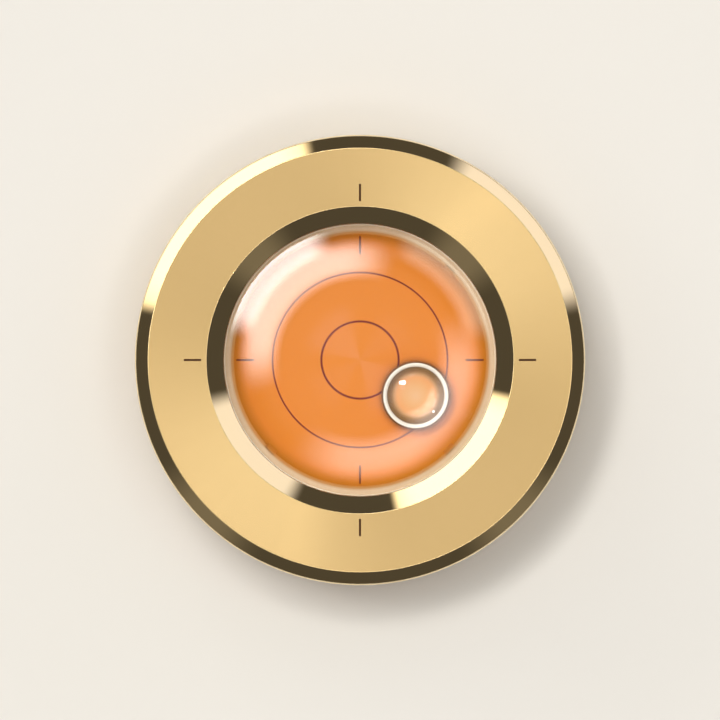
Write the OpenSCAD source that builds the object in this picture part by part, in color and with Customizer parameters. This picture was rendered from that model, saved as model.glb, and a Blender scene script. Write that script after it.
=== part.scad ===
// Circular bubble level: a turned brass case that holds a sealed spirit vial under a domed lens.
// Millimetres, +Z up. The origin is the centre of the resting face.

/* [Case] */
// Outer diameter of the case
case_d = 60; // [57:0.5:80]
// Width of the chamfer round the top face, up to where it would meet the side wall
top_chamfer_w = 1.76; // [0.8:0.02:2.5]
// Height of that chamfer
top_chamfer_h = 1.38; // [0.8:0.02:2.5]
// Radius of the rounded edge between that chamfer and the side wall
edge_r = 0.6; // [0.2:0.1:1.5]
// Chamfer of the lower edge
foot_chamfer = 0.5; // [0.2:0.1:0.8]
// Width of the ring that the level stands on
foot_w = 1.8; // [1:0.1:3]

/* [Window] */
// Diameter of the opening that the lens shows through
window_d = 36.3; // [34:0.1:38]
// Width of the bevel round the opening
bevel_w = 2.3; // [1.5:0.1:3]
// Depth of that bevel
bevel_h = 1.8; // [1:0.1:2.2]
// Straight wall of the opening under the bevel
lip_h = 1.2; // [0.8:0.1:2]

/* [Lens] */
// Radius of the dome
dome_r = 70; // [55:1:120]
// Radius of the ground underside, which sets how far the bubble runs for a tilt
under_r = 115; // [80:1:300]
// Width and height of the bevel that breaks the dome's edge
lens_bevel = 0.2; // [0.1:0.05:0.5]
// Straight glass wall over the flange
lens_wall_h = 0.63; // [0.3:0.01:0.9]
// How far the flange stands out under the lip
flange_w = 2.2; // [1.8:0.1:2.6]
// Thickness of the flange
flange_t = 2.4; // [1.5:0.1:3]
// Thickness of the gasket between flange and lip
gasket_t = 0.4; // [0.2:0.05:0.8]

/* [Vial] */
// Bore of the vial cup
vial_d = 34.5; // [33.5:0.1:35.5]
// Height of the cup's wall over its floor
cup_wall_h = 3; // [2.8:0.1:4]
// Thickness of the cup's floor
cup_floor_t = 1; // [0.8:0.1:2]
// Section of the sealing ring in the cup's rim
seal_d = 1; // [0.8:0.05:1.2]
// How far the sealing ring is squeezed
seal_squeeze = 0.25; // [0.1:0.05:0.35]
// Thickness of the enamelled dish
dish_t = 0.5; // [0.3:0.05:0.6]
// Radius of the dish's curved side, measured outside
dish_curve_r = 6.8; // [6:0.1:8]
// Width of the filling notches in the dish's rim
notch_w = 1.6; // [0.8:0.1:2.5]

/* [Bubble] */
// Diameter of the bubble
bubble_d = 8.62; // [6:0.02:9]
// Radius of the bubble's rounded edge
bubble_edge_r = 1.5; // [1:0.05:1.6]
// Diameter of the disc where the bubble lies flat against the lens
bubble_flat_d = 7.62; // [5:0.02:8]
// Tilt at which the bubble is shown, in degrees from level
bubble_tilt = 4.33; // [0:0.01:5]
// Direction of the bubble from the centre, in degrees from +X
bubble_bearing = -32.5; // [-180:0.5:180]

/* [Marks] */
// Diameter of the inner circle, at the middle of its line
inner_circle_d = 9.94; // [9:0.02:12]
// Line width of the inner circle
inner_line_w = 0.24; // [0.1:0.02:0.4]
// Diameter of the outer circle, at the middle of its line
outer_circle_d = 22.6; // [18:0.1:22.8]
// Line width of the outer circle
outer_line_w = 0.17; // [0.1:0.01:0.3]
// Distance of the dish's ticks from the middle
dish_tick_r = 13.69; // [12.5:0.01:14]
// Length of the dish's ticks, seen from above
dish_tick_l = 2.5; // [1:0.1:2.6]
// Width of the dish's ticks
dish_tick_w = 0.17; // [0.1:0.01:0.4]
// Gap from the bevel to the ticks on the top face
face_tick_gap = 0.7; // [0.3:0.05:2]
// Length of the ticks on the top face
face_tick_l = 2.3; // [1:0.1:4]
// Width of the ticks on the top face
face_tick_w = 0.28; // [0.15:0.01:0.6]
// Depth of every engraved mark
mark_depth = 0.12; // [0.05:0.01:0.2]

/* [Fixings] */
// Thickness of the threaded ring that clamps the vial
ring_t = 2.2; // [1.5:0.1:4]
// Width of the threaded ring
ring_w = 4.15; // [4:0.05:5.5]
// How much wider the ring's thread is than the vial's bore
ring_ledge = 0.9; // [0.8:0.1:1.8]
// Width of the ring's two spanner slots
spanner_slot_w = 2; // [1:0.1:3]
// Depth of the spanner slots
spanner_slot_t = 1; // [0.5:0.1:1.4]
// Diameter of the boss that takes the filler screw
boss_d = 5.2; // [4.4:0.1:6]
// Height of that boss under the cup's floor
boss_h = 1.1; // [0.8:0.1:2]
// Thickness of the filler screw's washer
washer_t = 0.3; // [0.2:0.05:0.6]
// Head diameter of the filler screw
filler_head_d = 3.6; // [3:0.1:4.2]
// Head height of the filler screw
filler_head_h = 1; // [0.8:0.1:1.6]
// Thread diameter of the filler screw and the base screws
screw_d = 2; // [1.6:0.1:2.4]
// Head diameter of the countersunk base screws
base_head_d = 3.8; // [3.4:0.1:4.2]
// Length of the base screws
base_screw_l = 4; // [3:0.1:5]
// Thickness of the base plate
base_t = 1.2; // [1.1:0.1:2]
// How far the base plate lies back from the resting face
base_recess = 0.4; // [0.2:0.1:1]
// Width of the screw-driver slots
slot_w = 0.5; // [0.3:0.05:0.8]
// Depth of the screw-driver slots
slot_t = 0.4; // [0.2:0.05:0.6]

/* [Clearances] */
// Between the lens and the opening, on the radius
lens_clear = 0.1; // [0.05:0.01:0.2]
// Between the clamped stack and its bore, on the radius
stack_clear = 0.1; // [0.05:0.01:0.2]
// Round the threads and the base screws, on the radius
thread_clear = 0.05; // [0.02:0.01:0.1]
// Round the base plate, and between the dish and what it fits in
plate_clear = 0.1; // [0.05:0.01:0.2]
// Film between the spirit, the bubble and what they move along
film = 0.1; // [0.05:0.01:0.12]
// Free space over the base plate, and round the filler boss
free_gap = 0.2; // [0.1:0.05:0.5]

/* [Hidden] */
$fn = 128;
// steps of the large lens radii, of which only a short arc is used
fine = 1440;

brass = "#d9b36a";
dark_brass = "#a88445";
glass = "#e8ecec";
rubber = "#26241f";
enamel = "#ee9046";
paint = "#62461a";
dyed_spirit = "#f0a060";
air = "#f7efde";

// how far a cut runs past the face that it opens
past = 1;
// how far a rounded edge stands proud of its chamfer, so that the two meet in one clean line
hair = 0.002;
base_screw_count = 3;
// one tick each way: right, up, left and down in plan
tick_count = 4;
notch_count = 4;
// plan angle of the first filling notch, clear of the ticks
notch_start = 45;

// radii, from the opening outwards
case_r = case_d / 2;
window_r = window_d / 2;
face_in_r = window_r + bevel_w;
lens_r = window_r - lens_clear;
stack_r = lens_r + flange_w;
stack_bore_r = stack_r + stack_clear;
thread_r = stack_bore_r + ring_ledge;
ring_r = thread_r - thread_clear;
ring_bore_r = ring_r - ring_w;
vial_r = vial_d / 2;
seal_mid_r = (vial_r + stack_r) / 2;

// radii, from the side wall inwards
base_seat_r = case_r - foot_chamfer - foot_w;
base_r = base_seat_r - plate_clear;
screw_circle_r = base_r - base_head_d / 2 - free_gap;
filler_circle_r = ring_bore_r - boss_d / 2 - free_gap;

// heights, from the resting face up
base_top_z = base_recess + base_t;
filler_stack_h = boss_h + washer_t + filler_head_h;
cup_z = base_top_z + free_gap + max(ring_t, filler_stack_h);
ring_z = cup_z - ring_t;
cup_floor_z = cup_z + cup_floor_t;
dish_floor_z = cup_floor_z + dish_t;
lens_z = cup_floor_z + cup_wall_h;
flange_top_z = lens_z + flange_t;
lip_z = flange_top_z + gasket_t;
bevel_z = lip_z + lip_h;
case_h = bevel_z + bevel_h;
thread_top_z = cup_z + free_gap;
seal_groove_t = seal_d - seal_squeeze;

// dome and ground underside, as heights of the spheres' centres
dome_rim_r = lens_r - lens_bevel;
lens_edge_z = flange_top_z + lens_wall_h;
dome_centre_z = lens_edge_z + lens_bevel - sqrt(dome_r * dome_r - dome_rim_r * dome_rim_r);
// the ground hollow stops short of the cup's bore, so that the dish's rim stays under flat glass
hollow_r = vial_r - plate_clear - dish_t / 2;
under_centre_z = lens_z - sqrt(under_r * under_r - hollow_r * hollow_r);

// dish: a flat floor that turns up in an arc to its rim
dish_rim_r = vial_r - plate_clear;
dish_rim_z = lens_z - plate_clear;
arc_z = cup_floor_z + dish_curve_r;
dish_flat_r = dish_rim_r - sqrt(dish_curve_r * dish_curve_r - pow(arc_z - dish_rim_z, 2));
dish_inner_r = dish_curve_r - dish_t;

// bubble, about the centre of the underside's sphere
bubble_core_r = bubble_d / 2 - bubble_edge_r;
flat_reach = bubble_flat_d / 2 - bubble_core_r;
bubble_over = sqrt(bubble_edge_r * bubble_edge_r - flat_reach * flat_reach);
bubble_run_r = under_r - film;
bubble_mid_r = bubble_run_r - bubble_over;

base_head_h = (base_head_d - screw_d) / 2;

// half-plane that keeps a turned outline on its own side of the axis
module right_of(x, low, high, reach) {
    translate([x, low]) square([reach, high - low]);
}

// what is cut off a turned outer corner, where a chamfer meets an upright wall, to round it
module round_corner_cut(wall_x, corner_z, r, slope) {
    run = r * tan((90 - slope) / 2) - hair;
    centre = [wall_x - r, corner_z - run];
    difference() {
        polygon([
            centre,
            [wall_x + r, corner_z - run],
            [wall_x + r, corner_z + r],
            centre + 2 * r * [sin(slope), cos(slope)]
        ]);
        translate(centre) circle(r);
    }
}

module case_outline() {
    difference() {
        polygon([
            [base_seat_r, 0],
            [case_r - foot_chamfer, 0],
            [case_r, foot_chamfer],
            [case_r, case_h - top_chamfer_h],
            [case_r - top_chamfer_w, case_h],
            [face_in_r, case_h],
            [window_r, bevel_z],
            [window_r, lip_z],
            [stack_bore_r, lip_z],
            [stack_bore_r, thread_top_z],
            [thread_r, thread_top_z],
            [thread_r, base_top_z],
            [base_seat_r, base_top_z]
        ]);
        round_corner_cut(case_r, case_h - top_chamfer_h, edge_r, atan(top_chamfer_h / top_chamfer_w));
    }
}

// turns a thing once to each of count equal places
module around(count, start = 0) {
    for (i = [0 : count - 1])
        rotate(start + i * 360 / count)
            children();
}

module face_tick_bar(depth) {
    translate([face_in_r + face_tick_gap, -face_tick_w / 2, case_h - mark_depth])
        cube([face_tick_l, face_tick_w, depth]);
}

module case() {
    color(brass)
        difference() {
            rotate_extrude() case_outline();
            around(base_screw_count)
                translate([screw_circle_r, 0, base_top_z - past])
                    cylinder(r = screw_d / 2 + thread_clear, h = past + base_screw_l - base_t + free_gap);
            around(tick_count)
                face_tick_bar(mark_depth + past);
        }
}

module face_tick(angle) {
    color(paint)
        rotate(angle)
            face_tick_bar(mark_depth);
}

module lens_gasket() {
    color(rubber)
        translate([0, 0, flange_top_z])
            difference() {
                cylinder(r = stack_r, h = gasket_t);
                translate([0, 0, -past])
                    cylinder(r = window_r + free_gap, h = gasket_t + 2 * past);
            }
}

module lens_outline() {
    rise = 3 * lens_bevel;
    difference() {
        union() {
            translate([0, lens_z]) square([stack_r, flange_t]);
            intersection() {
                translate([0, dome_centre_z]) circle(dome_r, $fn = fine);
                polygon([
                    [0, lens_z],
                    [lens_r, lens_z],
                    [lens_r, lens_edge_z],
                    [lens_r - rise, lens_edge_z + rise],
                    [lens_r - rise, lens_edge_z + dome_r],
                    [0, lens_edge_z + dome_r]
                ]);
            }
        }
        translate([0, under_centre_z]) circle(under_r, $fn = fine);
    }
}

module lens() {
    color(glass, 0.4)
        rotate_extrude() lens_outline();
}

module sealing_ring() {
    color(rubber)
        rotate_extrude()
            translate([seal_mid_r, lens_z - seal_groove_t / 2])
                intersection() {
                    circle(d = seal_d);
                    square([2 * seal_d, seal_groove_t], center = true);
                }
}

module vial_cup() {
    groove_w = seal_d + 2 * plate_clear;
    color(dark_brass)
        difference() {
            union() {
                rotate_extrude()
                    difference() {
                        translate([0, cup_z]) square([stack_r, cup_floor_t + cup_wall_h]);
                        translate([-past, cup_floor_z]) square([vial_r + past, cup_wall_h + past]);
                        translate([seal_mid_r - groove_w / 2, lens_z - seal_groove_t])
                            square([groove_w, seal_groove_t + past]);
                    }
                translate([filler_circle_r, 0, cup_z - boss_h])
                    cylinder(d = boss_d, h = boss_h + cup_floor_t);
            }
            translate([filler_circle_r, 0, cup_z - boss_h - past])
                cylinder(r = screw_d / 2 + thread_clear, h = boss_h + cup_floor_t + 2 * past);
        }
}

// what a bowl with this arc holds, from its floor up to high
module bowl_room(arc_r, high) {
    union() {
        translate([0, arc_z - arc_r]) square([dish_flat_r, high - arc_z + arc_r]);
        intersection() {
            translate([dish_flat_r, arc_z]) circle(arc_r);
            right_of(dish_flat_r, arc_z - arc_r - past, high, arc_r + past);
        }
    }
}

module dish_skin(from_r, to_r, high) {
    difference() {
        bowl_room(to_r, high);
        bowl_room(from_r, high + past);
    }
}

// the strip of the dish's upper skin that one tick fills, or with some of the room over it
module dish_tick_solid(over = 0) {
    intersection() {
        rotate_extrude() dish_skin(dish_inner_r - over, dish_inner_r + mark_depth, dish_rim_z);
        translate([dish_tick_r, -dish_tick_w / 2, cup_floor_z])
            cube([dish_tick_l, dish_tick_w, cup_wall_h]);
    }
}

module circle_line(d, w, depth) {
    rotate_extrude()
        translate([d / 2 - w / 2, dish_floor_z - mark_depth])
            square([w, depth]);
}

module reflector_dish() {
    color(enamel)
        difference() {
            rotate_extrude() dish_skin(dish_inner_r, dish_curve_r, dish_rim_z);
            circle_line(inner_circle_d, inner_line_w, mark_depth + past);
            circle_line(outer_circle_d, outer_line_w, mark_depth + past);
            around(tick_count)
                dish_tick_solid(past);
            around(notch_count, notch_start)
                translate([dish_rim_r - 2 * dish_t, -notch_w / 2, dish_rim_z - dish_t])
                    cube([2 * dish_t + past, notch_w, dish_t + past]);
        }
}

module inner_circle() {
    color(paint)
        circle_line(inner_circle_d, inner_line_w, mark_depth);
}

module outer_circle() {
    color(paint)
        circle_line(outer_circle_d, outer_line_w, mark_depth);
}

module dish_tick(angle) {
    color(paint)
        rotate(angle)
            dish_tick_solid();
}

// puts a thing that is drawn about the underside's centre where the bubble is shown
module at_bubble() {
    rotate(bubble_bearing)
        translate([0, 0, under_centre_z])
            rotate([0, bubble_tilt, 0])
                children();
}

// half outline of the bubble, a flat disc with a round edge, grown by some margin
module bubble_outline(margin) {
    union() {
        translate([0, bubble_mid_r - bubble_edge_r - margin])
            square([bubble_core_r, 2 * (bubble_edge_r + margin)]);
        translate([bubble_core_r, bubble_mid_r])
            circle(bubble_edge_r + margin);
    }
}

module bubble() {
    color(air, 0.7)
        at_bubble()
            rotate_extrude()
                intersection() {
                    bubble_outline(0);
                    circle(bubble_run_r, $fn = fine);
                    right_of(0, 0, under_r, bubble_d);
                }
}

module spirit() {
    color(dyed_spirit, 0.5)
        difference() {
            rotate_extrude()
                intersection() {
                    bowl_room(dish_inner_r - film, lens_z + under_r);
                    translate([0, under_centre_z]) circle(under_r - film, $fn = fine);
                    right_of(0, cup_floor_z, lens_z + under_r, vial_r);
                }
            at_bubble()
                rotate_extrude() bubble_outline(film);
        }
}

// straight screw-driver slot across a head, cut up from its flat end at z = 0
module driver_slot(head_d) {
    translate([-head_d / 2 - past, -slot_w / 2, -past])
        cube([head_d + 2 * past, slot_w, slot_t + past]);
}

module filler_screw() {
    color(brass)
        translate([filler_circle_r, 0, cup_z - filler_stack_h])
            difference() {
                union() {
                    cylinder(d = filler_head_d, h = filler_head_h);
                    cylinder(d = screw_d, h = filler_stack_h + cup_floor_t);
                }
                driver_slot(filler_head_d);
            }
}

module filler_washer() {
    color(rubber)
        translate([filler_circle_r, 0, cup_z - boss_h - washer_t])
            difference() {
                cylinder(d = filler_head_d + free_gap, h = washer_t);
                translate([0, 0, -past])
                    cylinder(r = screw_d / 2 + thread_clear, h = washer_t + 2 * past);
            }
}

module retaining_ring() {
    color(brass)
        translate([0, 0, ring_z])
            difference() {
                cylinder(r = ring_r, h = ring_t);
                translate([0, 0, -past])
                    cylinder(r = ring_bore_r, h = ring_t + 2 * past);
                around(2, 90)
                    translate([ring_bore_r - past, -spanner_slot_w / 2, -past])
                        cube([ring_w + 2 * past, spanner_slot_w, spanner_slot_t + past]);
            }
}

// countersunk screw that points up, head first at z = 0
module base_screw() {
    difference() {
        union() {
            cylinder(d1 = base_head_d, d2 = screw_d, h = base_head_h);
            cylinder(d = screw_d, h = base_screw_l);
        }
        driver_slot(base_head_d);
    }
}

module base_plate() {
    seat_d = screw_d + 2 * thread_clear;
    mouth_d = base_head_d + 2 * thread_clear;
    color(dark_brass)
        translate([0, 0, base_recess])
            difference() {
                cylinder(r = base_r, h = base_t);
                around(base_screw_count)
                    translate([screw_circle_r, 0, 0]) {
                        translate([0, 0, -past])
                            cylinder(d = seat_d, h = base_t + 2 * past);
                        cylinder(d1 = mouth_d, d2 = seat_d, h = base_head_h);
                    }
            }
}

module base_screws() {
    color(brass)
        around(base_screw_count)
            translate([screw_circle_r, 0, base_recess])
                base_screw();
}

case();
lens_gasket();
lens();
sealing_ring();
vial_cup();
reflector_dish();
inner_circle();
outer_circle();
dish_tick(0);  // dish_tick_e
dish_tick(90);  // dish_tick_n
dish_tick(180);  // dish_tick_w
dish_tick(270);  // dish_tick_s
face_tick(0);  // face_tick_e
face_tick(90);  // face_tick_n
face_tick(180);  // face_tick_w
face_tick(270);  // face_tick_s
spirit();
bubble();
filler_screw();
filler_washer();
retaining_ring();
base_plate();
base_screws();
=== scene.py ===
import math

import bmesh
import bpy
from mathutils import Matrix, Vector


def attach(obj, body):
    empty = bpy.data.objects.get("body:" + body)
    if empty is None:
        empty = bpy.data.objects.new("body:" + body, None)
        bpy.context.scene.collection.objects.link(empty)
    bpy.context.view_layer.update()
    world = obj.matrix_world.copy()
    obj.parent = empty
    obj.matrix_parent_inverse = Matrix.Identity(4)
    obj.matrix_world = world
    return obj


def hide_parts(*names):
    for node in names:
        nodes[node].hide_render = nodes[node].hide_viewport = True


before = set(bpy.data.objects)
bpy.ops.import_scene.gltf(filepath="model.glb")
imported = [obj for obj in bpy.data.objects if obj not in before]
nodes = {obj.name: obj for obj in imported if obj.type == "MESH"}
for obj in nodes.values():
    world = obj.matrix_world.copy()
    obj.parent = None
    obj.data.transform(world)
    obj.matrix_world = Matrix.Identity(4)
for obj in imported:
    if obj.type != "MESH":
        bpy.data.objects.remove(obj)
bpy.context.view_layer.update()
scene = bpy.context.scene
mm = 0.001
# edges that turn by more degrees than this stay sharp
sharpDegrees = 35
# in mm: radii under onAxis lie on the axis, and cutters stand cutClear above what they cut
onAxis = 1e-6
cutClear = 1.0
tickAngles = {"e": 0, "n": 90, "w": 180, "s": 270}
print("frame loaded,", len(nodes), "nodes")


def tone(red, green, blue):
    # screen colour, 0 to 255, as the linear values that the shaders take
    out = []
    for value in (red, green, blue):
        v = value / 255
        out.append(v / 12.92 if v <= 0.04045 else ((v + 0.055) / 1.055) ** 2.4)
    return (*out, 1.0)


# outlines and turned meshes, drawn in mm as (radius, height)


def easedOutline(corners, steps=6, hug=0.04):
    # a corner is (radius, height, fillet), and a point beside each end of a fillet keeps the flats flat
    points = []
    count = len(corners)
    for i, (x, z, fillet) in enumerate(corners):
        here = Vector((x, z))
        if not fillet:
            points.append((x, z))
            continue
        back = (Vector(corners[i - 1][:2]) - here).normalized()
        ahead = (Vector(corners[(i + 1) % count][:2]) - here).normalized()
        half = back.angle(ahead) / 2
        reach = fillet / math.tan(half)
        centre = here + (back + ahead).normalized() * (fillet / math.sin(half))
        first = here + back * reach
        last = here + ahead * reach
        angle = math.atan2(first.y - centre.y, first.x - centre.x)
        sweep = math.atan2(last.y - centre.y, last.x - centre.x) - angle
        sweep = (sweep + math.pi) % (2 * math.pi) - math.pi
        points.append(tuple(first + back * hug))
        for k in range(steps + 1):
            a = angle + sweep * k / steps
            points.append((centre.x + fillet * math.cos(a), centre.y + fillet * math.sin(a)))
        points.append(tuple(last + ahead * hug))
    return points


def capPoints(centreZ, radius, fromR, toR, steps):
    # points on the upper side of a sphere about the axis
    points = []
    for i in range(steps + 1):
        r = fromR + (toR - fromR) * i / steps
        points.append((r, centreZ + math.sqrt(radius * radius - r * r)))
    return points


def bowlPoints(centre, radius, low, high, steps):
    # points on the dish's curved side, between two heights
    start = math.acos((centre[1] - low) / radius) if low > centre[1] - radius else 0.0
    stop = math.acos((centre[1] - high) / radius)
    points = []
    for i in range(steps + 1):
        a = start + (stop - start) * i / steps
        points.append((centre[0] + radius * math.sin(a), centre[1] - radius * math.cos(a)))
    return points


def finishMesh(piece, sharp=sharpDegrees):
    work = bmesh.new()
    work.from_mesh(piece.data)
    bmesh.ops.recalc_face_normals(work, faces=work.faces)
    work.to_mesh(piece.data)
    work.free()
    for face in piece.data.polygons:
        face.use_smooth = True
    piece.data.set_sharp_from_angle(angle=math.radians(sharp))


def newPiece(name, points, faces, slots=None, sharp=sharpDegrees):
    mesh = bpy.data.meshes.new(name)
    mesh.from_pydata([tuple(v * mm for v in p) for p in points], [], faces)
    if slots:
        mesh.polygons.foreach_set("material_index", slots)
    piece = bpy.data.objects.new(name, mesh)
    scene.collection.objects.link(piece)
    finishMesh(piece, sharp)
    return piece


def turned(name, outline, closed=True, turns=384, slotOf=None, sharp=sharpDegrees):
    # turns an outline about the axis; slotOf gives the material slot of a strip from its middle
    points = []
    rows = []
    for r, z in outline:
        if r < onAxis:
            rows.append([len(points)])
            points.append((0, 0, z))
            continue
        rows.append(list(range(len(points), len(points) + turns)))
        for i in range(turns):
            a = 2 * math.pi * i / turns
            points.append((r * math.cos(a), r * math.sin(a), z))
    faces = []
    slots = []
    last = len(rows) if closed else len(rows) - 1
    for k in range(last):
        low = rows[k]
        high = rows[(k + 1) % len(rows)]
        if len(low) == 1 and len(high) == 1:
            continue
        (r1, z1), (r2, z2) = outline[k], outline[(k + 1) % len(rows)]
        slot = slotOf((r1 + r2) / 2, (z1 + z2) / 2) if slotOf else 0
        for i in range(turns):
            j = (i + 1) % turns
            if len(low) == 1:
                faces.append((low[0], high[i], high[j]))
            elif len(high) == 1:
                faces.append((low[i], high[0], low[j]))
            else:
                faces.append((low[i], high[i], high[j], low[j]))
            slots.append(slot)
    return newPiece(name, points, faces, slots, sharp)


def stripPiece(name, stations, angle):
    # a short strip that points away from the axis, closed at both ends
    c = math.cos(angle)
    s = math.sin(angle)
    count = len(stations[0])
    points = [(x * c - y * s, x * s + y * c, z) for station in stations for x, y, z in station]
    last = len(points) - count
    faces = [tuple(range(count)), tuple(range(last, last + count))]
    for start in range(0, last, count):
        for k in range(count):
            a = start + k
            b = start + (k + 1) % count
            faces.append((a, b, b + count, a + count))
    return newPiece(name, points, faces)


def barCutter(fromR, toR, width, low, high, angle):
    half = width / 2
    ends = [[(r, -half, low), (r, half, low), (r, half, high), (r, -half, high)] for r in (fromR, toR)]
    return stripPiece("cutter", ends, angle)


def cutAway(piece, cutters):
    for cutter in cutters:
        cut = piece.modifiers.new("cut", "BOOLEAN")
        cut.operation = "DIFFERENCE"
        cut.solver = "EXACT"
        cut.object = cutter
    bpy.context.view_layer.update()
    shape = piece.evaluated_get(bpy.context.evaluated_depsgraph_get())
    mesh = bpy.data.meshes.new_from_object(shape)
    piece.modifiers.clear()
    piece.data = mesh
    for cutter in cutters:
        bpy.data.objects.remove(cutter)
    finishMesh(piece)


# shader groups that several finishes share


def newGroup(name, inputs, outputs):
    group = bpy.data.node_groups.new(name, "ShaderNodeTree")
    for label, value in inputs:
        socket = group.interface.new_socket(name=label, in_out="INPUT", socket_type="NodeSocketFloat")
        socket.default_value = value
    for label, kind in outputs:
        group.interface.new_socket(name=label, in_out="OUTPUT", socket_type=kind)
    start = group.nodes.new("NodeGroupInput")
    end = group.nodes.new("NodeGroupOutput")
    return group, start, end


def mathNode(tree, operation, a, b=None, clamp=False):
    node = tree.nodes.new("ShaderNodeMath")
    node.operation = operation
    node.use_clamp = clamp
    for i, value in enumerate((a, b)):
        if value is None:
            continue
        if isinstance(value, (int, float)):
            node.inputs[i].default_value = value
        else:
            tree.links.new(value, node.inputs[i])
    return node.outputs[0]


def partCoordinates(tree):
    # object coordinates in mm, also as height, as seen from above, and as distance from the axis
    place = tree.nodes.new("ShaderNodeTexCoord")
    scaled = tree.nodes.new("ShaderNodeVectorMath")
    scaled.operation = "SCALE"
    scaled.inputs["Scale"].default_value = 1 / mm
    tree.links.new(place.outputs["Object"], scaled.inputs[0])
    split = tree.nodes.new("ShaderNodeSeparateXYZ")
    tree.links.new(scaled.outputs[0], split.inputs[0])
    flat = tree.nodes.new("ShaderNodeCombineXYZ")
    tree.links.new(split.outputs["X"], flat.inputs["X"])
    tree.links.new(split.outputs["Y"], flat.inputs["Y"])
    far = tree.nodes.new("ShaderNodeVectorMath")
    far.operation = "LENGTH"
    tree.links.new(flat.outputs[0], far.inputs[0])
    return {
        "place": scaled.outputs[0],
        "height": split.outputs["Z"],
        "flat": flat.outputs[0],
        "far": far.outputs["Value"],
    }


def noiseNode(tree, dimensions, scale, detail, vector=None, w=None, rough=0.5):
    node = tree.nodes.new("ShaderNodeTexNoise")
    node.noise_dimensions = dimensions
    node.inputs["Scale"].default_value = scale
    node.inputs["Detail"].default_value = detail
    node.inputs["Roughness"].default_value = rough
    if vector is not None:
        tree.links.new(vector, node.inputs["Vector"])
    if w is not None:
        tree.links.new(w, node.inputs["W"])
    return node.outputs["Fac"]


def scaledBy(tree, vector, amount):
    node = tree.nodes.new("ShaderNodeVectorMath")
    node.operation = "SCALE"
    tree.links.new(vector, node.inputs[0])
    tree.links.new(amount, node.inputs["Scale"])
    return node.outputs[0]


def makeToolMarks():
    # marks of lathe and brush: rings about the axis, bands up the side and rays from the middle
    group, start, end = newGroup(
        "toolMarks",
        [("Rings per mm", 6.0), ("Rays", 40.0)],
        [("Rings", "NodeSocketFloat"), ("Bands", "NodeSocketFloat"), ("Rays", "NodeSocketFloat")],
    )
    spots = partCoordinates(group)
    ringPlace = mathNode(group, "MULTIPLY", spots["far"], start.outputs["Rings per mm"])
    bandPlace = mathNode(group, "MULTIPLY", spots["height"], start.outputs["Rings per mm"])
    around = group.nodes.new("ShaderNodeVectorMath")
    around.operation = "NORMALIZE"
    group.links.new(spots["flat"], around.inputs[0])
    rayPlace = scaledBy(group, around.outputs[0], start.outputs["Rays"])
    rings = noiseNode(group, "1D", scale=1, detail=3, w=ringPlace, rough=0.6)
    bands = noiseNode(group, "1D", scale=1, detail=3, w=bandPlace, rough=0.6)
    rays = noiseNode(group, "2D", scale=1, detail=4, vector=rayPlace, rough=0.65)
    for label, marks in (("Rings", rings), ("Bands", bands), ("Rays", rays)):
        group.links.new(marks, end.inputs[label])
    return group


def makeHandling(cloudFrom=0.35):
    # faint cloudy smears of use
    group, start, end = newGroup(
        "handling",
        [("Size", 0.12), ("Reach", 0.5)],
        [("Smear", "NodeSocketFloat")],
    )
    cloudPlace = scaledBy(group, partCoordinates(group)["place"], start.outputs["Size"])
    cloud = noiseNode(group, "3D", scale=1, detail=5, vector=cloudPlace, rough=0.6)
    lifted = mathNode(group, "SUBTRACT", cloud, cloudFrom)
    smear = mathNode(group, "MULTIPLY", lifted, start.outputs["Reach"], clamp=True)
    group.links.new(smear, end.inputs["Smear"])
    return group


toolMarks = makeToolMarks()
handling = makeHandling()


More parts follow.
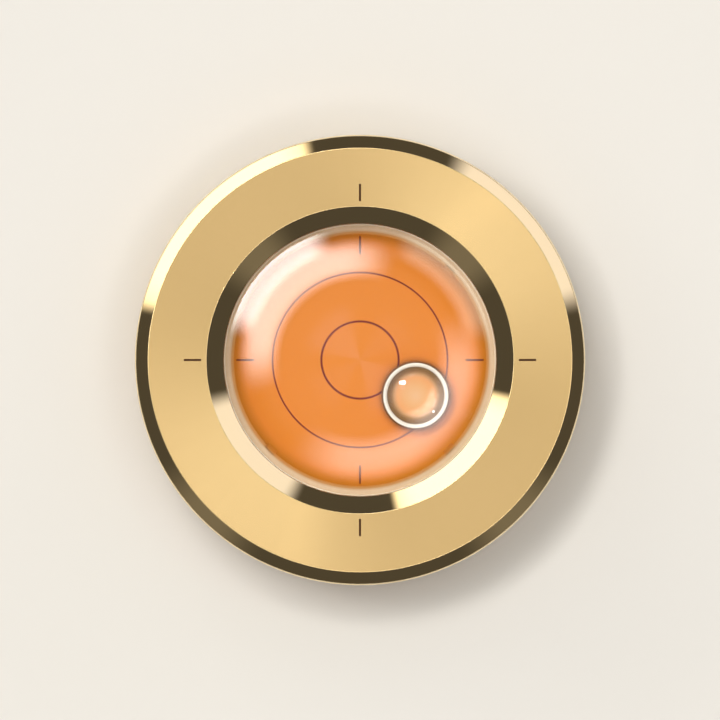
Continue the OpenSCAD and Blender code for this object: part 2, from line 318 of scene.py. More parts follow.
class Finish:
    # one material with its Principled shader at hand
    def __init__(self, name, color, rough, **plain):
        self.material = bpy.data.materials.new(name)
        self.material.use_nodes = True
        self.tree = self.material.node_tree
        self.shader = self.tree.nodes["Principled BSDF"]
        self.shader.inputs["Base Color"].default_value = color
        self.shader.inputs["Roughness"].default_value = rough
        for label, value in plain.items():
            self.shader.inputs[label].default_value = value

    def link(self, source, target):
        self.tree.links.new(source, target)

    def group(self, group, **values):
        node = self.tree.nodes.new("ShaderNodeGroup")
        node.node_tree = group
        for label, value in values.items():
            node.inputs[label.replace("_", " ")].default_value = value
        return node.outputs

    def mix(self, factor, first, second):
        # a colour between two, by a factor that changes over the surface
        node = self.tree.nodes.new("ShaderNodeMix")
        node.data_type = "RGBA"
        self.link(factor, node.inputs[0])
        # its sockets share their labels, and these are the two for colours
        for socket, value in ((node.inputs[6], first), (node.inputs[7], second)):
            if isinstance(value, tuple):
                socket.default_value = value
            else:
                self.link(value, socket)
        return node.outputs[2]

    def between(self, factor, low, high):
        # a number between two, by a factor that changes over the surface
        node = self.tree.nodes.new("ShaderNodeMapRange")
        node.inputs["To Min"].default_value = low
        node.inputs["To Max"].default_value = high
        self.link(factor, node.inputs["Value"])
        return node.outputs["Result"]

    def reach(self, value, start, stop, high=1.0):
        # from nothing at start to its full share at stop
        node = self.tree.nodes.new("ShaderNodeMapRange")
        node.inputs["From Min"].default_value = start
        node.inputs["From Max"].default_value = stop
        node.inputs["To Max"].default_value = high
        self.link(value, node.inputs["Value"])
        return node.outputs["Result"]

    def ramp(self, factor, stops):
        node = self.tree.nodes.new("ShaderNodeValToRGB")
        while len(node.color_ramp.elements) < len(stops):
            node.color_ramp.elements.new(1.0)
        for element, (place, color) in zip(node.color_ramp.elements, stops):
            element.position = place
            element.color = color
        self.link(factor, node.inputs["Fac"])
        return node.outputs["Color"]

    def bump(self, height, distance, strength):
        node = self.tree.nodes.new("ShaderNodeBump")
        node.inputs["Strength"].default_value = strength
        node.inputs["Distance"].default_value = distance * mm
        self.link(height, node.inputs["Height"])
        self.link(node.outputs["Normal"], self.shader.inputs["Normal"])

    def farFromAxis(self):
        return partCoordinates(self.tree)["far"]

    def color(self, source):
        self.link(source, self.shader.inputs["Base Color"])

    def rough(self, source):
        self.link(source, self.shader.inputs["Roughness"])

    def clearOfShadow(self):
        # lamp light passes straight through to what lies under, and only sight and mirror rays bend
        path = self.tree.nodes.new("ShaderNodeLightPath")
        through = self.tree.nodes.new("ShaderNodeBsdfTransparent")
        mixed = self.tree.nodes.new("ShaderNodeMixShader")
        rays = (path.outputs["Is Shadow Ray"], path.outputs["Is Diffuse Ray"])
        self.link(mathNode(self.tree, "MAXIMUM", *rays), mixed.inputs[0])
        self.link(self.shader.outputs[0], mixed.inputs[1])
        self.link(through.outputs[0], mixed.inputs[2])
        self.link(mixed.outputs[0], self.tree.nodes["Material Output"].inputs["Surface"])


# brass

brassLook = {
    "bright": tone(217, 183, 124),
    "deep": tone(210, 176, 116),
    "polished": tone(222, 190, 128),
    "aged": tone(172, 134, 78),
    # the lighter rubbed colour on the outer and inner edges is partly wear and partly a painted
    # highlight line
    "wornAndLit": tone(250, 232, 194),
    "wornAndLitOutside": (29.8, 29.88),
    "wornAndLitInside": (18.2, 18.17),
    "faceRough": 0.12,
    "faceStreak": 0.015,
    "polishRough": (0.04, 0.08),
    "sideRough": (0.15, 0.27),
    "latheStreak": 0.08,
}


def makeFaceBrass():
    # brushed from the middle outwards, so the light fans out in lobes
    f = Finish("brushedBrass", brassLook["bright"], 0.2, Metallic=1.0, Anisotropic=0.95)
    marks = f.group(toolMarks, Rays=260.0)
    smear = f.group(handling, Size=0.1, Reach=0.6)["Smear"]
    f.color(f.mix(marks["Rays"], brassLook["deep"], brassLook["bright"]))
    middle, either = brassLook["faceRough"], brassLook["faceStreak"]
    streak = f.between(marks["Rays"], low=middle - either, high=middle + either)
    f.rough(mathNode(f.tree, "ADD", streak, f.between(smear, low=0.0, high=0.02)))
    f.bump(marks["Rays"], distance=0.004, strength=0.3)
    tangent = f.tree.nodes.new("ShaderNodeTangent")
    tangent.direction_type = "RADIAL"
    tangent.axis = "Z"
    f.link(tangent.outputs[0], f.shader.inputs["Tangent"])
    return f.material


def makePolishedBrass():
    # under a clear lacquer, which whitens the highlights and is worn off along the outer and inner
    # edges, where the bare brass is also painted lighter as a painted highlight line
    f = Finish("polishedBrass", brassLook["polished"], 0.1, Metallic=1.0)
    f.shader.inputs["Coat Roughness"].default_value = 0.03
    f.shader.inputs["Coat IOR"].default_value = 1.7
    marks = f.group(toolMarks, Rings_per_mm=9.0)
    smear = f.group(handling, Size=0.15, Reach=0.7)["Smear"]
    far = f.farFromAxis()
    outside = f.reach(far, *brassLook["wornAndLitOutside"])
    inside = f.reach(far, *brassLook["wornAndLitInside"])
    # the edge mask: lacquer off and rougher, and a lighter colour that paints a highlight line
    wornAndLit = mathNode(f.tree, "MAXIMUM", outside, inside)
    lacquered = f.mix(smear, brassLook["polished"], brassLook["bright"])
    f.color(f.mix(wornAndLit, lacquered, brassLook["wornAndLit"]))
    low, high = brassLook["polishRough"]
    f.rough(mathNode(f.tree, "ADD", f.between(smear, low, high), f.between(wornAndLit, low=0.0, high=0.36)))
    f.link(f.between(wornAndLit, low=1.0, high=0.0), f.shader.inputs["Coat Weight"])
    f.bump(marks["Rings"], distance=0.001, strength=0.15)
    return f.material


def makeSideBrass():
    f = Finish("turnedSideBrass", brassLook["bright"], 0.2, Metallic=1.0)
    f.shader.inputs["Coat Weight"].default_value = 0.25
    f.shader.inputs["Coat Roughness"].default_value = 0.1
    bands = f.group(toolMarks, Rings_per_mm=5.0)["Bands"]
    smear = f.group(handling, Size=0.09, Reach=0.9)["Smear"]
    f.color(f.mix(smear, brassLook["bright"], brassLook["aged"]))
    low, high = brassLook["sideRough"]
    f.rough(mathNode(f.tree, "ADD", f.between(bands, low, high), f.between(smear, low=0.0, high=0.15)))
    f.bump(bands, distance=0.003, strength=0.3)
    return f.material


def makeLatheBrass(name, light, dark, rough):
    f = Finish(name, light, rough, Metallic=1.0)
    rings = f.group(toolMarks, Rings_per_mm=4.0)["Rings"]
    smear = f.group(handling, Size=0.16, Reach=1.1)["Smear"]
    f.color(f.mix(smear, light, dark))
    streak = f.between(rings, rough - brassLook["latheStreak"], rough + brassLook["latheStreak"])
    f.rough(mathNode(f.tree, "ADD", streak, f.between(smear, low=0.0, high=0.18)))
    f.bump(rings, distance=0.01, strength=0.45)
    return f.material


faceBrass = makeFaceBrass()
polishedBrass = makePolishedBrass()
sideBrass = makeSideBrass()
footBrass = makeLatheBrass("footBrass", brassLook["deep"], brassLook["aged"], rough=0.3)
plateBrass = makeLatheBrass("plateBrass", tone(206, 168, 104), tone(158, 120, 66), rough=0.34)
innerBrass = makeLatheBrass("innerBrass", tone(192, 152, 90), tone(140, 104, 56), rough=0.38)
screwBrass = makeLatheBrass("screwBrass", tone(222, 186, 118), tone(160, 122, 66), rough=0.24)
print("brass finishes ready")

# enamel, paint, rubber, glass and spirit

enamelLook = {
    "middle": tone(220, 130, 33),
    "side": tone(220, 130, 34),
    # this darker colour, from rimFrom to rimTo, is painted shade on the steep upper side of the dish
    "rim": tone(184, 113, 19),
    "rimFrom": 14.2,
    "rimTo": 16.4,
    # this pale colour at the very top of the side is painted light, standing in for the lens's pale
    # ground ring blurring over the dish
    "lip": tone(206, 158, 104),
    "lipFrom": 16.45,
    "lipTo": 17.1,
}


def makeEnamel():
    # the spirit wets it, so it hardly mirrors
    f = Finish("orangeEnamel", enamelLook["middle"], 0.3)
    f.shader.inputs["Specular IOR Level"].default_value = 0.1
    far = f.farFromAxis()
    smear = f.group(handling, Size=0.3, Reach=0.5)["Smear"]
    # painted shade: darker towards the rim
    shade = f.ramp(
        f.reach(far, enamelLook["rimFrom"], enamelLook["rimTo"]),
        [(0.0, enamelLook["middle"]), (0.35, enamelLook["side"]), (1.0, enamelLook["rim"])],
    )
    dusky = f.mix(smear, shade, enamelLook["side"])
    # painted light: paler at the very top of the side
    lip = f.reach(far, enamelLook["lipFrom"], enamelLook["lipTo"])
    f.color(f.mix(lip, dusky, enamelLook["lip"]))
    f.rough(f.between(smear, low=0.28, high=0.4))
    return f.material


def makePaint(name, dark, light):
    f = Finish(name, dark, 0.5)
    f.shader.inputs["Specular IOR Level"].default_value = 0.1
    smear = f.group(handling, Size=1.5, Reach=1.0)["Smear"]
    f.color(f.mix(smear, dark, light))
    f.rough(f.between(smear, low=0.5, high=0.7))
    f.bump(smear, distance=0.01, strength=0.4)
    return f.material


def makeRubber():
    f = Finish("blackRubber", tone(30, 28, 26), 0.7)
    smear = f.group(handling, Size=1.2, Reach=1.2)["Smear"]
    f.color(f.mix(smear, tone(26, 25, 24), tone(52, 49, 45)))
    f.rough(f.between(smear, low=0.62, high=0.82))
    f.bump(smear, distance=0.03, strength=0.5)
    return f.material


glassLook = {
    "ior": 1.5,
    "spiritIor": 1.36,
    "ground": tone(225, 195, 156),
    "grit": tone(210, 176, 137),
    # the darker colour along the inner edge is painted shade
    "innerShade": tone(200, 156, 104),
    "innerShadeTo": (17.2, 16.9),
    # the pale colour along the outer edge is a painted highlight
    "edge": tone(255, 244, 222),
    "edgeGlintFrom": (17.95, 17.98),
}


def makeLensGlass():
    f = Finish("polishedGlass", tone(253, 253, 252), 0.02)
    f.shader.inputs["Transmission Weight"].default_value = 1.0
    f.shader.inputs["IOR"].default_value = glassLook["ior"]
    smear = f.group(handling, Size=0.08, Reach=0.3)["Smear"]
    f.rough(f.between(smear, low=0.01, high=0.03))
    f.clearOfShadow()
    return f.material


def makeWetGlass():
    # the underside, where light goes from glass to spirit: it bends little and hardly mirrors
    f = Finish("wetGlass", tone(253, 253, 252), 0.0)
    f.shader.inputs["Transmission Weight"].default_value = 1.0
    f.shader.inputs["IOR"].default_value = glassLook["ior"] / glassLook["spiritIor"]
    smear = f.group(handling, Size=0.08, Reach=0.3)["Smear"]
    f.rough(f.between(smear, low=0.0, high=0.01))
    f.clearOfShadow()
    return f.material


def makeGroundGlass():
    # painted shade darkens it along the inner edge, and a painted highlight makes the outer edge bright
    f = Finish("groundGlass", glassLook["ground"], 0.55)
    grit = f.group(handling, Size=2.5, Reach=1.0)["Smear"]
    far = f.farFromAxis()
    frosted = f.mix(grit, glassLook["ground"], glassLook["grit"])
    innerShaded = f.mix(f.reach(far, *glassLook["innerShadeTo"]), frosted, glassLook["innerShade"])
    f.color(f.mix(f.reach(far, *glassLook["edgeGlintFrom"]), innerShaded, glassLook["edge"]))
    f.rough(f.between(grit, low=0.5, high=0.7))
    f.bump(grit, distance=0.02, strength=0.5)
    return f.material


def makeSpirit():
    # the lens's wet underside already bends the light into the spirit, so this surface only tints it
    f = Finish("dyedSpirit", tone(255, 247, 238), 0.0)
    f.shader.inputs["Transmission Weight"].default_value = 1.0
    f.shader.inputs["IOR"].default_value = 1.0
    cloud = f.group(handling, Size=0.06, Reach=0.4)["Smear"]
    f.color(f.mix(cloud, tone(255, 248, 240), tone(255, 243, 230)))
    f.clearOfShadow()
    return f.material


bubbleLook = {
    # stops by share of the bubble's reach, painted light and shade: pale middle, dark band, bright rim
    # and dark outline
    "stops": [
        (0.0, tone(226, 181, 135)),
        (0.233, tone(226, 174, 122)),
        (0.35, tone(226, 169, 113)),
        (0.524, tone(228, 162, 102)),
        (0.582, tone(216, 157, 104)),
        (0.641, tone(189, 142, 96)),
        (0.699, tone(151, 113, 73)),
        (0.756, tone(132, 96, 54)),
        (0.836, tone(118, 90, 54)),
        (0.849, tone(240, 236, 226)),
        (0.948, tone(240, 236, 226)),
        (0.96, tone(116, 78, 34)),
        (1.0, tone(116, 78, 34)),
    ],
    "reach": 4.46,
    "gloss": 0.5,
    "glossFrom": 3.0,
    "glossTo": 2.7,
    # the meniscus colour is painted shade, a dark halo round the bubble
    "meniscus": tone(96, 52, 14),
    "edge": [(4.42, 0.5), (4.52, 0.26), (4.7, 0.14), (4.95, 0.05), (5.3, 0.0)],
}


def makeBubbleAir():
    # seen from above, the far wall of the bubble, in painted light and shade: pale in the middle, a
    # painted dark band towards a painted bright rim, and a painted dark outline outside it
    f = Finish("bubbleAir", tone(226, 181, 135), 0.3)
    f.shader.inputs["Specular IOR Level"].default_value = 0.0
    f.shader.inputs["Coat Roughness"].default_value = 0.02
    far = f.farFromAxis()
    share = mathNode(f.tree, "DIVIDE", far, bubbleLook["reach"])
    f.color(f.ramp(share, bubbleLook["stops"]))
    gloss = f.reach(far, bubbleLook["glossFrom"], bubbleLook["glossTo"], bubbleLook["gloss"])
    f.link(gloss, f.shader.inputs["Coat Weight"])
    return f.material


def makeMeniscus():
    # the thin wedge of spirit round the bubble, a dark see-through sheet of painted shade for the light
    # it turns aside; edge pairs a radius with how much of it shows there
    f = Finish("meniscusPaintedShade", bubbleLook["meniscus"], 0.6)
    f.shader.inputs["Specular IOR Level"].default_value = 0.0
    far = f.farFromAxis()
    first = bubbleLook["edge"][0][0]
    last = bubbleLook["edge"][-1][0]
    stops = [((r - first) / (last - first), (a, a, a, 1.0)) for r, a in bubbleLook["edge"]]
    f.link(f.ramp(f.reach(far, first, last), stops), f.shader.inputs["Alpha"])
    f.clearOfShadow()
    return f.material


enamel = makeEnamel()
facePaint = makePaint("brownFacePaint", tone(62, 30, 2), tone(80, 44, 8))
dishPaint = makePaint("brownDishPaint", tone(118, 28, 1), tone(130, 38, 3))
tickPaint = makePaint("brownTickPaint", tone(106, 42, 1), tone(118, 50, 4))
rubber = makeRubber()
lensGlass = makeLensGlass()
wetGlass = makeWetGlass()
groundGlass = makeGroundGlass()
spiritDye = makeSpirit()
bubbleAir = makeBubbleAir()
meniscusShade = makeMeniscus()
print("enamel, paint, rubber, glass and spirit ready")


def dress(piece, materials):
    for material in materials:
        piece.data.materials.append(material)


def seat(piece, body, slot, *replaced):
    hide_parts(*replaced)
    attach(piece, body)


def paintStrip(name, stations, angle, paint, node):
    # paint in a short engraved line
    strip = stripPiece(name, stations, angle)
    dress(strip, [paint])
    seat(strip, "case", "mark_paint", node)


# case, with its engraved ticks

caseSizes = {
    "corners": [
        (27.7, 0.0, 0.12),
        (29.5, 0.0, 0.1),
        (30.0, 0.5, 0.15),
        (30.0, 12.62, 0.6),
        (28.24, 14.0, 0.16),
        (20.45, 14.0, 0.14),
        (18.15, 12.2, 0.06),
        (18.15, 11.0, 0.0),
        (20.35, 11.0, 0.0),
        (20.35, 4.4, 0.0),
        (21.25, 4.4, 0.0),
        (21.25, 1.6, 0.0),
        (27.7, 1.6, 0.0),
    ],
    "top": 14.0,
    "faceSlack": 0.0005,
    "chamferFrom": (28.0, 12.3),
    "bevelFrom": (20.6, 12.16),
    "sideFrom": (29.45, 0.1),
    "tickFrom": 21.15,
    "tickTo": 23.45,
    "tickWidth": 0.28,
    "tickDepth": 0.12,
    "paintDepth": 0.036,
    "paintClimb": 0.02,
    "paintAlong": (
        (0, 1), (0.03, 0.4), (0.08, 0.1), (0.25, 0),
        (0.75, 0), (0.92, 0.1), (0.97, 0.4), (1, 1),
    ),
    "paintAcross": ((1, 1), (0.6, 0.3), (0, 0), (-0.6, 0.3), (-1, 1)),
}


def caseSlot(r, z):
    # brushed face, polished chamfer and bevel, turned side, and the rest
    c = caseSizes
    if z > c["top"] - c["faceSlack"]:
        return 0
    chamferR, chamferZ = c["chamferFrom"]
    bevelR, bevelZ = c["bevelFrom"]
    sideR, sideZ = c["sideFrom"]
    if (z > chamferZ and r > chamferR) or (z > bevelZ and r < bevelR):
        return 1
    if r > sideR and z > sideZ:
        return 2
    return 3


def faceTick(name, angle):
    # settled paint, lower in the middle of its groove than along the walls, and the groove's cutter;
    # paintAlong and paintAcross pair a place in the groove with the share of the climb there
    c = caseSizes
    half = c["tickWidth"] / 2
    low = c["top"] - c["tickDepth"]
    stations = []
    for share, endClimb in c["paintAlong"]:
        x = c["tickFrom"] + (c["tickTo"] - c["tickFrom"]) * share
        station = [(x, -half, low), (x, half, low)]
        for side, wallClimb in c["paintAcross"]:
            sunk = c["paintDepth"] - c["paintClimb"] * max(endClimb, wallClimb)
            station.append((x, half * side, c["top"] - sunk))
        stations.append(station)
    paintStrip("faceTickPaint_" + name, stations, angle, facePaint, "face_tick_" + name)
    return barCutter(c["tickFrom"], c["tickTo"], c["tickWidth"], low, c["top"] + cutClear, angle)


case = turned("caseBody", easedOutline(caseSizes["corners"]), slotOf=caseSlot)
dress(case, [faceBrass, polishedBrass, sideBrass, footBrass])
cutAway(case, [faceTick(name, math.radians(angle)) for name, angle in tickAngles.items()])
seat(case, "case", "case_brass", "case")
print("case turned")

# lens

lensSizes = {
    "domeR": 70.0,
    "underR": 115.0,
    "underCentre": -105.5514,
    "hollowR": 16.9,
    "edgeR": 18.11,
    "domeRimR": 17.98,
    "flangeR": 20.25,
    "low": 8.2,
    "flangeTop": 10.6,
    "edgeZ": 11.3256,
    "domeRimZ": 11.3956,
    "underSteps": 28,
    "domeSteps": 48,
    "sharp": 15,
}
domeRise = math.sqrt(lensSizes["domeR"] ** 2 - lensSizes["domeRimR"] ** 2)
domeCentre = lensSizes["domeRimZ"] - domeRise


def lensSlot(r, z):
    # polished dome, ground rim and flange, and wet underside
    if z > lensSizes["edgeZ"] and r < lensSizes["domeRimR"]:
        return 0
    return 2 if r < lensSizes["hollowR"] else 1


lensOutline = capPoints(
    lensSizes["underCentre"], lensSizes["underR"], 0, lensSizes["hollowR"], lensSizes["underSteps"]
)
lensOutline += [
    (lensSizes["flangeR"], lensSizes["low"]),
    (lensSizes["flangeR"], lensSizes["flangeTop"]),
    (lensSizes["edgeR"], lensSizes["flangeTop"]),
    (lensSizes["edgeR"], lensSizes["edgeZ"]),
]
lensOutline += capPoints(
    domeCentre, lensSizes["domeR"], lensSizes["domeRimR"], 0, lensSizes["domeSteps"]
)
lens = turned("lensGlass", lensOutline, closed=False, slotOf=lensSlot, sharp=lensSizes["sharp"])
dress(lens, [lensGlass, groundGlass, wetGlass])
seat(lens, "case", "lens_glass", "lens")
print("lens ground")

# dish, with its circles, ticks and filling notches

dishSizes = {
    "floor": 5.7,
    "under": 5.2,
    "flatR": 11.5795,
    "arcZ": 12.0,
    "inR": 6.3,
    "outR": 6.8,
    "rimZ": 8.1,
    "innerCircle": (4.835, 5.105),
    "outerCircle": (11.195, 11.405),
    "markDepth": 0.12,
    "proud": 0.008,
    "tickFrom": 13.69,
    "tickTo": 16.19,
    "tickWidth": 0.26,
    "tickDepth": 0.1,
    "tickSteps": 16,
    "notchAngles": (45, 135, 225, 315),
    "notchFrom": 16.15,
    "notchTo": 18.15,
    "notchWidth": 1.6,
    "notchZ": 7.6,
    "arcSteps": 28,
    "turns": 256,
}
arcCentre = (dishSizes["flatR"], dishSizes["arcZ"])
dishOutline = [(0, dishSizes["floor"])]
for ring in ("innerCircle", "outerCircle"):
    inner, outer = dishSizes[ring]
    floor = dishSizes["floor"]
    sunk = floor - dishSizes["markDepth"]
    dishOutline += [(inner, floor), (inner, sunk), (outer, sunk), (outer, floor)]
upTo = (dishSizes["rimZ"], dishSizes["arcSteps"])
dishOutline += bowlPoints(arcCentre, dishSizes["inR"], dishSizes["floor"], *upTo)
dishOutline += reversed(bowlPoints(arcCentre, dishSizes["outR"], dishSizes["under"], *upTo))
dishOutline += [(0, dishSizes["under"])]


def dishStation(r, corners):
    # corners on the dish's curved side at one radius, each given sideways and above the enamel
    lean = math.asin((r - dishSizes["flatR"]) / dishSizes["inR"])
    station = []
    for side, lift in corners:
        far = dishSizes["inR"] - lift
        x = dishSizes["flatR"] + far * math.sin(lean)
        station.append((x, side, dishSizes["arcZ"] - far * math.cos(lean)))
    return station


def dishTick(name, angle):
    # a painted strip that follows the dish's curved side, and its groove's cutter
    d = dishSizes
    half = d["tickWidth"] / 2
    floor = ((-half, -d["tickDepth"]), (half, -d["tickDepth"]))
    crown = ((half, d["proud"] / 2), (0, d["proud"]), (-half, d["proud"] / 2))
    clear = ((half, cutClear), (-half, cutClear))
    paint = []
    groove = []
    for i in range(d["tickSteps"] + 1):
        r = d["tickFrom"] + (d["tickTo"] - d["tickFrom"]) * i / d["tickSteps"]
        paint.append(dishStation(r, floor + crown))
        groove.append(dishStation(r, floor + clear))
    paintStrip("dishTickPaint_" + name, paint, angle, tickPaint, "dish_tick_" + name)
    return stripPiece("cutter", groove, angle)


def dishNotch(angle):
    d = dishSizes
    top = d["rimZ"] + cutClear
    return barCutter(d["notchFrom"], d["notchTo"], d["notchWidth"], d["notchZ"], top, angle)


dish = turned("enamelDish", dishOutline, closed=False, turns=dishSizes["turns"])
dress(dish, [enamel])
cutters = [dishTick(name, math.radians(angle)) for name, angle in tickAngles.items()]
cutters += [dishNotch(math.radians(angle)) for angle in dishSizes["notchAngles"]]
cutAway(dish, cutters)
seat(dish, "case", "dish_enamel", "reflector_dish")

for ring, node in (("innerCircle", "inner_circle"), ("outerCircle", "outer_circle")):
    inner, outer = dishSizes[ring]
    floor = dishSizes["floor"]
    low = floor - dishSizes["markDepth"]
    crown = ((inner + outer) / 2, floor + dishSizes["proud"])
    section = [(inner, low), (outer, low), (outer, floor), crown, (inner, floor)]
    line = turned(ring + "Paint", section, turns=dishSizes["turns"])
    dress(line, [dishPaint])
    seat(line, "case", "mark_paint", node)
print("dish enamelled and marked")

# spirit and bubble

spiritSizes = {"overlap": 0.03, "sink": 0.02, "rimGap": 0.02, "sideSteps": 24, "topSteps": 28}
wetR = dishSizes["inR"] + spiritSizes["sink"]
wetFloor = dishSizes["floor"] - spiritSizes["sink"]
wetRim = dishSizes["rimZ"] - spiritSizes["rimGap"]
spiritOutline = [(0, wetFloor)]
spiritOutline += bowlPoints(arcCentre, wetR, wetFloor, wetRim, spiritSizes["sideSteps"])
spiritEdge = spiritOutline[-1][0]
overGlass = lensSizes["underR"] + spiritSizes["overlap"]
spiritOutline += capPoints(lensSizes["underCentre"], overGlass, spiritEdge, 0, spiritSizes["topSteps"])
spirit = turned("spiritFill", spiritOutline, closed=False, turns=dishSizes["turns"])
dress(spirit, [spiritDye])
seat(spirit, "spirit", "dyed_spirit", "spirit")

bubbleSizes = {
    "tilt": 4.33,
    "bearing": -32.5,
    "middle": 113.782,
    "hollowR": 20.0,
    "hollowSteps": 24,
    "levelTo": (2.9, 3.7),
    "rimFrom": 3.77,
    "rimTo": 4.46,
    "rimLow": 0.3,
    "rimTop": 0.62,
    "lowZ": -1.45,
    "arcSteps": 16,
    "wedgeTop": 1.0,
    "wedgeHalf": 0.01,
    "wedgeSteps": 12,
    "turns": 128,
}


def bubbleOutline():
    # the hollow that shows, its rim, and the rounded underside
    b = bubbleSizes
    floor = b["rimLow"] - b["hollowR"] + math.sqrt(b["hollowR"] ** 2 - b["rimFrom"] ** 2)
    points = []
    for i in range(b["hollowSteps"] + 1):
        r = b["rimFrom"] * i / b["hollowSteps"]
        points.append((r, floor + b["hollowR"] - math.sqrt(b["hollowR"] ** 2 - r * r)))
    middle = (b["rimFrom"] + b["rimTo"]) / 2
    wide = (b["rimTo"] - b["rimFrom"]) / 2
    rise = b["rimTop"] - b["rimLow"]
    drop = b["lowZ"] - b["rimLow"]
    steps = b["arcSteps"]
    for i in range(1, steps + 1):
        a = math.pi * (1 - i / steps)
        points.append((middle + wide * math.cos(a), b["rimLow"] + rise * math.sin(a)))
    for i in range(1, steps + 1):
        a = math.pi / 2 * i / steps
        points.append((b["rimTo"] * math.cos(a), b["rimLow"] + drop * math.sin(a)))
    points[-1] = (0, b["lowZ"])
    return points


def levelHollow(piece):
    # the bubble leans with the lens, and its hollow lies level
    hollowCount = 1 + bubbleSizes["hollowSteps"] * bubbleSizes["turns"]
    slope = math.tan(math.radians(bubbleSizes["tilt"]))
    inner, outer = bubbleSizes["levelTo"]
    for corner in piece.data.vertices[:hollowCount]:
        r = corner.co.xy.length / mm
        share = min(max((outer - r) / (outer - inner), 0), 1)
        corner.co.z += corner.co.x * slope * share * share * (3 - 2 * share)
    piece.data.update()


def meniscusOutline():
    # a thin curved wedge from the bubble's rim up to the glass
    inner, outer = bubbleLook["edge"][0][0], bubbleLook["edge"][-1][0]
    low, high = bubbleSizes["rimLow"], bubbleSizes["wedgeTop"]
    half = bubbleSizes["wedgeHalf"]
    over = []
    under = []
    for i in range(bubbleSizes["wedgeSteps"] + 1):
        share = i / bubbleSizes["wedgeSteps"]
        r = inner + (outer - inner) * share
        z = low + (high - low) * (1 - (1 - share) ** 2)
        over.append((r, z + half))
        under.append((r, z - half))
    return over + under[::-1]


bubble = turned("airBubble", bubbleOutline(), closed=False, turns=bubbleSizes["turns"])
levelHollow(bubble)
dress(bubble, [bubbleAir])
# a dark see-through sheet round the bubble, painted shade
meniscus = turned("bubbleMeniscus", meniscusOutline(), turns=bubbleSizes["turns"])
dress(meniscus, [meniscusShade])
aside = Matrix.Rotation(math.radians(bubbleSizes["bearing"]), 4, "Z")
lean = Matrix.Rotation(math.radians(bubbleSizes["tilt"]), 4, "Y")
centre = Matrix.Translation((0, 0, lensSizes["underCentre"] * mm))
out = Matrix.Translation((0, 0, bubbleSizes["middle"] * mm))
for piece in (bubble, meniscus):
    piece.matrix_world = centre @ aside @ lean @ out
    bpy.context.view_layer.update()
    seat(piece, "bubble", "bubble_air", "bubble")
print("vial filled")

# base plate, its screws and what is hidden inside keep their CAD shapes

hiddenFinishes = {
    "lens_gasket": rubber,
    "sealing_ring": rubber,
    "filler_washer": rubber,
    "vial_cup": innerBrass,
    "retaining_ring": innerBrass,
    "filler_screw": screwBrass,
    "base_plate": plateBrass,
    "base_screws": screwBrass,
}
for name, material in hiddenFinishes.items():
    nodes[name].data.materials.clear()
    nodes[name].data.materials.append(material)
print("inner pieces finished")

# floor, lamps, world and camera

floorLook = {
    "color": tone(219, 215, 207),
    "cloud": tone(215, 210, 201),
    "size": 6.0,
    "drop": 0.00003,
}
floorMesh = bpy.data.meshes.new("paleFloor")
side = floorLook["size"] / 2
floorCorners = [(-side, -side, 0), (side, -side, 0), (side, side, 0), (-side, side, 0)]
floorMesh.from_pydata(floorCorners, [], [(0, 1, 2, 3)])
floorPiece = bpy.data.objects.new("paleFloor", floorMesh)
floorPiece.location.z = -floorLook["drop"]
scene.collection.objects.link(floorPiece)
floorFinish = Finish("paleFloor", floorLook["color"], 0.8)
floorCloud = floorFinish.group(handling, Size=0.004, Reach=0.4)["Smear"]
floorFinish.color(floorFinish.mix(floorCloud, floorLook["color"], floorLook["cloud"]))
floorMesh.materials.append(floorFinish.material)

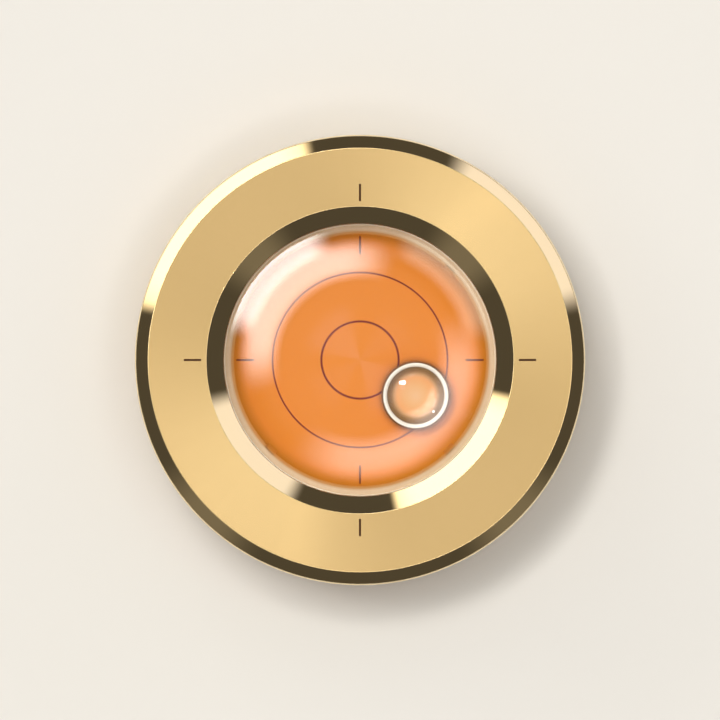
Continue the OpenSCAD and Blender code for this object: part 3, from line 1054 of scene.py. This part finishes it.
# soft panels and a soft ceiling, by direction in degrees, which the chamfers and the dome mirror
panels = {
    "keyLow": {
        "azimuth": 135, "half": 30.8, "soft": 2.2, "low": 5, "high": 23, "edge": 4,
        "glow": 2.05, "tint": (1, 0.98, 0.94),
    },
    "keyCore": {
        "azimuth": 135, "half": 27.5, "soft": 6, "low": 5, "high": 23, "edge": 4,
        "glow": 1.0, "tint": (1, 0.98, 0.94),
    },
    "keyOuter": {
        "azimuth": 136.5, "half": 27, "soft": 7, "low": 58.4, "high": 65, "edge": 1.5,
        "glow": 17.5, "tint": (1, 0.99, 0.98),
    },
    "keyInner": {
        "azimuth": 134, "half": 50, "soft": 16, "low": 64.4, "high": 70.6, "edge": 2.2,
        "glow": 12.0, "tint": (1, 0.99, 0.98),
    },
    "fillLow": {
        "azimuth": 39.3, "half": 23.55, "soft": 4, "low": 5, "high": 23, "edge": 4,
        "glow": 1.34, "tint": (0.92, 0.99, 1.3),
    },
    "fillHigh": {
        "azimuth": 41, "half": 27, "soft": 7, "low": 60, "high": 65.4, "edge": 1.6,
        "glow": 3.9, "tint": (0.9, 1.08, 0.96),
    },
    "backHigh": {
        "azimuth": 309, "half": 62, "soft": 20, "low": 64.4, "high": 71.4, "edge": 2.4,
        "glow": 5.7, "tint": (1, 0.94, 0.93),
    },
    "band": {
        "azimuth": 0, "half": 200, "soft": 1, "low": 24.5, "high": 51, "edge": 4,
        "glow": 0.45, "tint": (1, 0.985, 0.96),
    },
    "stripLeft": {
        "azimuth": 135, "half": 32.5, "soft": 13.5, "low": 78, "high": 95, "edge": 2,
        "glow": 0.55, "tint": (1, 1.13, 1.45),
    },
    "stripRight": {
        "azimuth": 315, "half": 32.5, "soft": 13.5, "low": 78, "high": 95, "edge": 2,
        "glow": 0.55, "tint": (1, 1.13, 1.45),
    },
    "stripFront": {
        "azimuth": 220, "half": 22, "soft": 14, "low": 78, "high": 95, "edge": 2,
        "glow": 0.26, "tint": (1, 1.01, 1.25),
    },
    "stripBack": {
        "azimuth": 40, "half": 22, "soft": 14, "low": 78, "high": 95, "edge": 2,
        "glow": 0.26, "tint": (1, 1.01, 1.25),
    },
    "liftLeft": {
        "azimuth": 225, "half": 11, "soft": 8, "low": -4, "high": 30, "edge": 4,
        "glow": 0.15, "tint": (1, 1, 1),
    },
    "liftRight": {
        "azimuth": 315, "half": 11, "soft": 8, "low": -4, "high": 30, "edge": 4,
        "glow": 0.15, "tint": (1, 1, 1),
    },
}
ceiling = {"horizon": 0.1, "zenith": 0.825, "from": 56, "to": 76, "tint": (1.0, 0.985, 0.96)}

world = bpy.data.worlds.new("softStudio")
scene.world = world
world.use_nodes = True
sky = world.node_tree


def skyStep(value, start, stop, low=0.0, high=1.0):
    node = sky.nodes.new("ShaderNodeMapRange")
    node.interpolation_type = "SMOOTHSTEP"
    for label, number in (("From Min", start), ("From Max", stop), ("To Min", low), ("To Max", high)):
        node.inputs[label].default_value = number
    sky.links.new(value, node.inputs["Value"])
    return node.outputs["Result"]


def skyColor(strength, tint):
    node = sky.nodes.new("ShaderNodeVectorMath")
    node.operation = "SCALE"
    node.inputs[0].default_value = tint
    sky.links.new(strength, node.inputs["Scale"])
    return node.outputs[0]


direction = sky.nodes.new("ShaderNodeTexCoord").outputs["Generated"]
split = sky.nodes.new("ShaderNodeSeparateXYZ")
sky.links.new(direction, split.inputs[0])
level = sky.nodes.new("ShaderNodeCombineXYZ")
sky.links.new(split.outputs["X"], level.inputs["X"])
sky.links.new(split.outputs["Y"], level.inputs["Y"])
compass = sky.nodes.new("ShaderNodeVectorMath")
compass.operation = "NORMALIZE"
sky.links.new(level.outputs[0], compass.inputs[0])
toDegrees = math.degrees(1)
rise = mathNode(sky, "MULTIPLY", mathNode(sky, "ARCSINE", split.outputs["Z"]), toDegrees)

overhead = skyStep(rise, ceiling["from"], ceiling["to"], ceiling["horizon"], ceiling["zenith"])
glow = skyColor(overhead, ceiling["tint"])
for panel in panels.values():
    turn = math.radians(panel["azimuth"])
    facing = sky.nodes.new("ShaderNodeVectorMath")
    facing.operation = "DOT_PRODUCT"
    facing.inputs[1].default_value = (math.cos(turn), math.sin(turn), 0)
    sky.links.new(compass.outputs[0], facing.inputs[0])
    aside = mathNode(sky, "MULTIPLY", mathNode(sky, "ARCCOSINE", facing.outputs["Value"]), toDegrees)
    # half is half the panel's width, soft is how far its sides fade, and edge its top and bottom
    wide = skyStep(aside, panel["half"] + panel["soft"], panel["half"] - panel["soft"])
    above = skyStep(rise, panel["low"] - panel["edge"], panel["low"] + panel["edge"])
    below = skyStep(rise, panel["high"] + panel["edge"], panel["high"] - panel["edge"])
    shape = mathNode(sky, "MULTIPLY", wide, mathNode(sky, "MULTIPLY", above, below))
    part = skyColor(mathNode(sky, "MULTIPLY", shape, panel["glow"]), panel["tint"])
    total = sky.nodes.new("ShaderNodeVectorMath")
    total.operation = "ADD"
    sky.links.new(glow, total.inputs[0])
    sky.links.new(part, total.inputs[1])
    glow = total.outputs[0]
sky.links.new(glow, sky.nodes["Background"].inputs["Color"])
print("soft panels hung")

# two small lamps near overhead, which glint in the dome over the bubble
pinLamps = {
    "glint": {"place": (0.2515, -0.1334, 1.4872), "size": (0.044, 0.0265), "power": 0.115},
    "sparkle": {"place": (0.4302, -0.3015, 1.4222), "size": (0.012, 0.012), "power": 0.03},
}
for name, pin in pinLamps.items():
    lamp = bpy.data.lights.new(name, "AREA")
    lamp.shape = "ELLIPSE"
    lamp.size, lamp.size_y = pin["size"]
    lamp.energy = pin["power"]
    holder = bpy.data.objects.new(name, lamp)
    back = Vector(pin["place"]).normalized()
    across = (Vector((1, 0, 0)) - back * back.x).normalized()
    aim = Matrix((across, back.cross(across), back)).transposed().to_4x4()
    holder.matrix_world = Matrix.Translation(pin["place"]) @ aim
    scene.collection.objects.link(holder)
print("small lamps hung")

cameraLook = {"height": 2.0, "acrossMm": 95.92, "edgeZ": 12.3, "sensor": 36.0}
view = bpy.data.cameras.new("fromAbove")
view.sensor_width = cameraLook["sensor"]
edgeDistance = cameraLook["height"] / mm - cameraLook["edgeZ"]
view.lens = cameraLook["sensor"] * edgeDistance / cameraLook["acrossMm"]
camera = bpy.data.objects.new("fromAbove", view)
camera.location = (0, 0, cameraLook["height"])
scene.collection.objects.link(camera)
scene.camera = camera
scene.view_settings.view_transform = "Standard"
print("floor, lamps and camera set")

bpy.context.view_layer.update()
